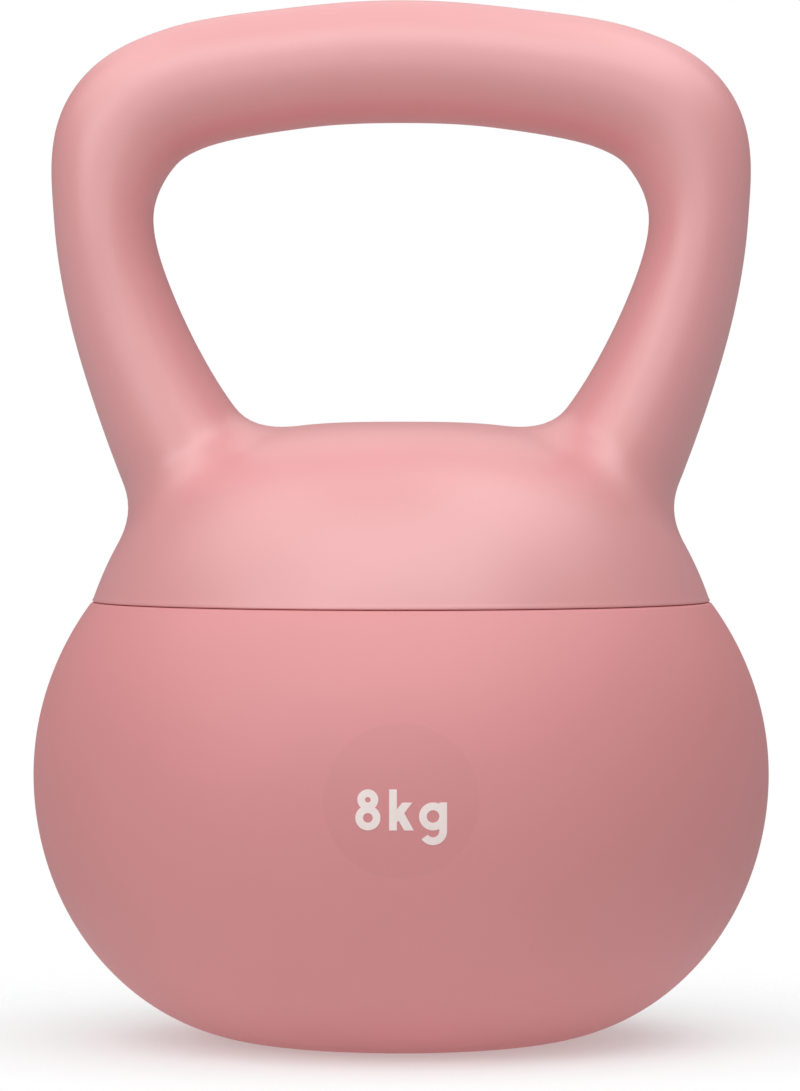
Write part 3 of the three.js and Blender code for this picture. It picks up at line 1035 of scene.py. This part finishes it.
def print_ink():
    """Pale matte screen print."""
    made, tree, shader = material("print_ink", IOR=1.45)
    base = linear(255, 240, 236)
    tone = blend_colours(tree, object_noise(tree, 300, 2), shade(base, 0.97), base)
    tree.links.new(tone, shader.inputs["Base Color"])
    tree.links.new(spread(tree, object_noise(tree, 900, 2), 0.5, 0.62), shader.inputs["Roughness"])
    return made


def rubber(name, colour, grain):
    """Dull rubber or foam, its grain finer the higher the number."""
    made, tree, shader = material(name, IOR=1.5)
    tone = blend_colours(tree, object_noise(tree, 90, 3), shade(colour, 0.9), shade(colour, 1.08))
    tree.links.new(tone, shader.inputs["Base Color"])
    tree.links.new(spread(tree, object_noise(tree, 400, 2), 0.7, 0.85), shader.inputs["Roughness"])
    bump(tree, shader, object_noise(tree, grain, 3), 0.00006, 0.6)
    return made


def moulded_plastic(name, colour):
    """Unpolished plastic of the inner mouldings."""
    made, tree, shader = material(name, IOR=1.46)
    tone = blend_colours(tree, object_noise(tree, 40, 2), shade(colour, 0.95), shade(colour, 1.03))
    tree.links.new(tone, shader.inputs["Base Color"])
    tree.links.new(spread(tree, object_noise(tree, 200, 3), 0.45, 0.6), shader.inputs["Roughness"])
    bump(tree, shader, object_noise(tree, 1500, 2), 0.00003, 0.4)
    return made


def zinc_steel():
    """Zinc plating, blotchy in tone and gloss."""
    made, tree, shader = material("zinc_steel", Metallic=1.0)
    blotches = object_noise(tree, 350, 4, 0.6)
    tone = blend_colours(tree, blotches, linear(150, 152, 156), linear(196, 197, 199))
    tree.links.new(tone, shader.inputs["Base Color"])
    tree.links.new(spread(tree, object_noise(tree, 700, 3), 0.24, 0.42), shader.inputs["Roughness"])
    bump(tree, shader, object_noise(tree, 2400, 2), 0.00002, 0.3)
    return made


def iron_sand():
    """Loose dark grains."""
    made, tree, shader = material("iron_sand", IOR=1.6)
    grains = object_noise(tree, 1400, 4, 0.7)
    tone = blend_colours(tree, grains, linear(34, 32, 31), linear(96, 90, 86), 0.4, 0.62)
    tree.links.new(tone, shader.inputs["Base Color"])
    tree.links.new(spread(tree, grains, 0.6, 0.95), shader.inputs["Roughness"])
    bump(tree, shader, grains, 0.0004, 1.0)
    return made


def dress(piece, finish):
    """Gives the piece its one material."""
    piece.data.materials.clear()
    piece.data.materials.append(finish)


# ---- Stage --------------------------------------------------------------------------------------------

def camera():
    """The front view."""
    data = bpy.data.cameras.new("camera")
    data.lens = LENS
    data.sensor_width = 36
    data.clip_start = 0.05
    data.clip_end = 50
    eye = new_object("camera", data)
    eye.location = Vector((CAMERA_X, -CAMERA_DISTANCE, CAMERA_Z)) * MM
    aim = Vector((CAMERA_X, 0, AIM_Z)) * MM
    eye.rotation_euler = (aim - eye.location).to_track_quat("-Z", "Y").to_euler()
    bpy.context.scene.camera = eye


def soft_box(name, azimuth, elevation, width, height, watts):
    """A soft box on a sphere round the object, aimed at its middle."""
    data = bpy.data.lights.new(name, "AREA")
    data.shape = "RECTANGLE"
    data.size = width
    data.size_y = height
    data.energy = watts
    lamp = new_object(name, data)
    around, up = math.radians(azimuth), math.radians(elevation)
    out = Vector((math.sin(around) * math.cos(up), -math.cos(around) * math.cos(up), math.sin(up)))
    lamp.location = Vector((0, 0, HEIGHT / 2)) * MM + out * LIGHT_DISTANCE
    lamp.rotation_euler = (-out).to_track_quat("-Z", "Y").to_euler()


def surroundings():
    """White all round to look at; as light, a weak fill from above and more from the bright ground."""
    world = bpy.data.worlds.new("studio")
    world.use_nodes = True
    tree = world.node_tree
    background = tree.nodes["Background"]
    background.inputs["Color"].default_value = (1, 1, 1, 1)
    way = tree.nodes.new("ShaderNodeSeparateXYZ")
    tree.links.new(tree.nodes.new("ShaderNodeTexCoord").outputs["Generated"], way.inputs["Vector"])
    fill = tree.nodes.new("ShaderNodeMapRange")
    fill.inputs["From Min"].default_value = -HORIZON
    fill.inputs["From Max"].default_value = HORIZON
    fill.inputs["To Min"].default_value = GROUND_FILL
    fill.inputs["To Max"].default_value = SKY_FILL
    tree.links.new(way.outputs["Z"], fill.inputs["Value"])
    strength = tree.nodes.new("ShaderNodeMath")
    strength.operation = "MAXIMUM"
    tree.links.new(fill.outputs["Result"], strength.inputs[0])
    tree.links.new(tree.nodes.new("ShaderNodeLightPath").outputs["Is Camera Ray"], strength.inputs[1])
    tree.links.new(strength.outputs["Value"], background.inputs["Strength"])
    bpy.context.scene.world = world


def floor():
    """A pale round floor whose edge fades into the white; it can't be seen from below."""
    made = bmesh.new()
    bmesh.ops.create_circle(made, cap_ends=True, radius=FLOOR_RADIUS, segments=96)
    mesh = bpy.data.meshes.new("floor")
    made.to_mesh(mesh)
    made.free()
    ground = new_object("floor", mesh)
    finish, tree, shader = material("floor", Roughness=0.9, Emission_Strength=FLOOR_GLOW)
    shader.inputs["Emission Color"].default_value = (1, 1, 1, 1)
    tone = blend_colours(tree, object_noise(tree, 3, 2), *FLOOR_TONES)
    tree.links.new(tone, shader.inputs["Base Color"])
    away = tree.nodes.new("ShaderNodeVectorMath")
    away.operation = "LENGTH"
    tree.links.new(tree.nodes.new("ShaderNodeTexCoord").outputs["Object"], away.inputs[0])
    fade = tree.nodes.new("ShaderNodeMapRange")
    fade.interpolation_type = "SMOOTHSTEP"
    fade.inputs["From Min"].default_value = FLOOR_RADIUS
    fade.inputs["From Max"].default_value = 0
    tree.links.new(away.outputs["Value"], fade.inputs["Value"])
    above = tree.nodes.new("ShaderNodeMath")
    above.operation = "SUBTRACT"
    above.use_clamp = True
    tree.links.new(fade.outputs["Result"], above.inputs[0])
    tree.links.new(tree.nodes.new("ShaderNodeNewGeometry").outputs["Backfacing"], above.inputs[1])
    tree.links.new(above.outputs["Value"], shader.inputs["Alpha"])
    dress(ground, finish)


def studio():
    """A broad box high in front, weaker ones on both sides and behind, on a pale floor."""
    surroundings()
    for box in SOFT_BOXES:
        soft_box(*box)
    floor()
    bpy.context.scene.view_settings.view_transform = "Standard"


# ---- Assembly -----------------------------------------------------------------------------------------

def place(piece, slot, finish, *nodes):
    """Rides the piece on the one body with its finish, in place of the CAD nodes named. The slot is not
    used.
    """
    dress(piece, finish)
    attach(piece, "root")
    if nodes:
        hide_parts(*nodes)


def assemble():
    """Camera, outer pieces, inner pieces from the seat down to the port, and studio."""
    camera()
    place(handle_skin(), "handle_plastic", handle_plastic(), "handle_shell")
    place(body_skin(), "body_vinyl", body_vinyl(), "body_shell")
    place(base_pad(), "pad_rubber", rubber("pad_rubber", linear(178, 124, 127), 900), "base_pad")
    ink = print_ink()
    for mark in mass_mark():
        place(mark, "print_ink", ink)

    seat = moulded_plastic("seat_plastic", linear(207, 160, 161))
    place(seat_plate(), "seat_plastic", seat, "handle_seat")
    foam = rubber("gasket_foam", linear(74, 74, 76), 2000)
    place(joint_ring("gasket_ring", "neck_gasket", 0.4), "gasket_foam", foam, "neck_gasket")
    steel = zinc_steel()
    place(joint_ring("clamp_plate", "clamp_ring", 0.6), "zinc_steel", steel, "clamp_ring")
    for index in range(1, SCREW_COUNT + 1):
        place(clamp_screw(index), "zinc_steel", steel, f"clamp_screw_{index}")
    place(sand_fill(), "iron_sand", iron_sand(), "iron_sand")
    port = moulded_plastic("port_plastic", linear(217, 214, 210))
    place(port_collar(), "port_plastic", port, "filler_collar")
    place(port_plug(), "port_plastic", port, "filler_plug")
    place(seal_ring(), "seal_rubber", rubber("seal_rubber", linear(52, 52, 54), 1500), "plug_seal")
    studio()


assemble()
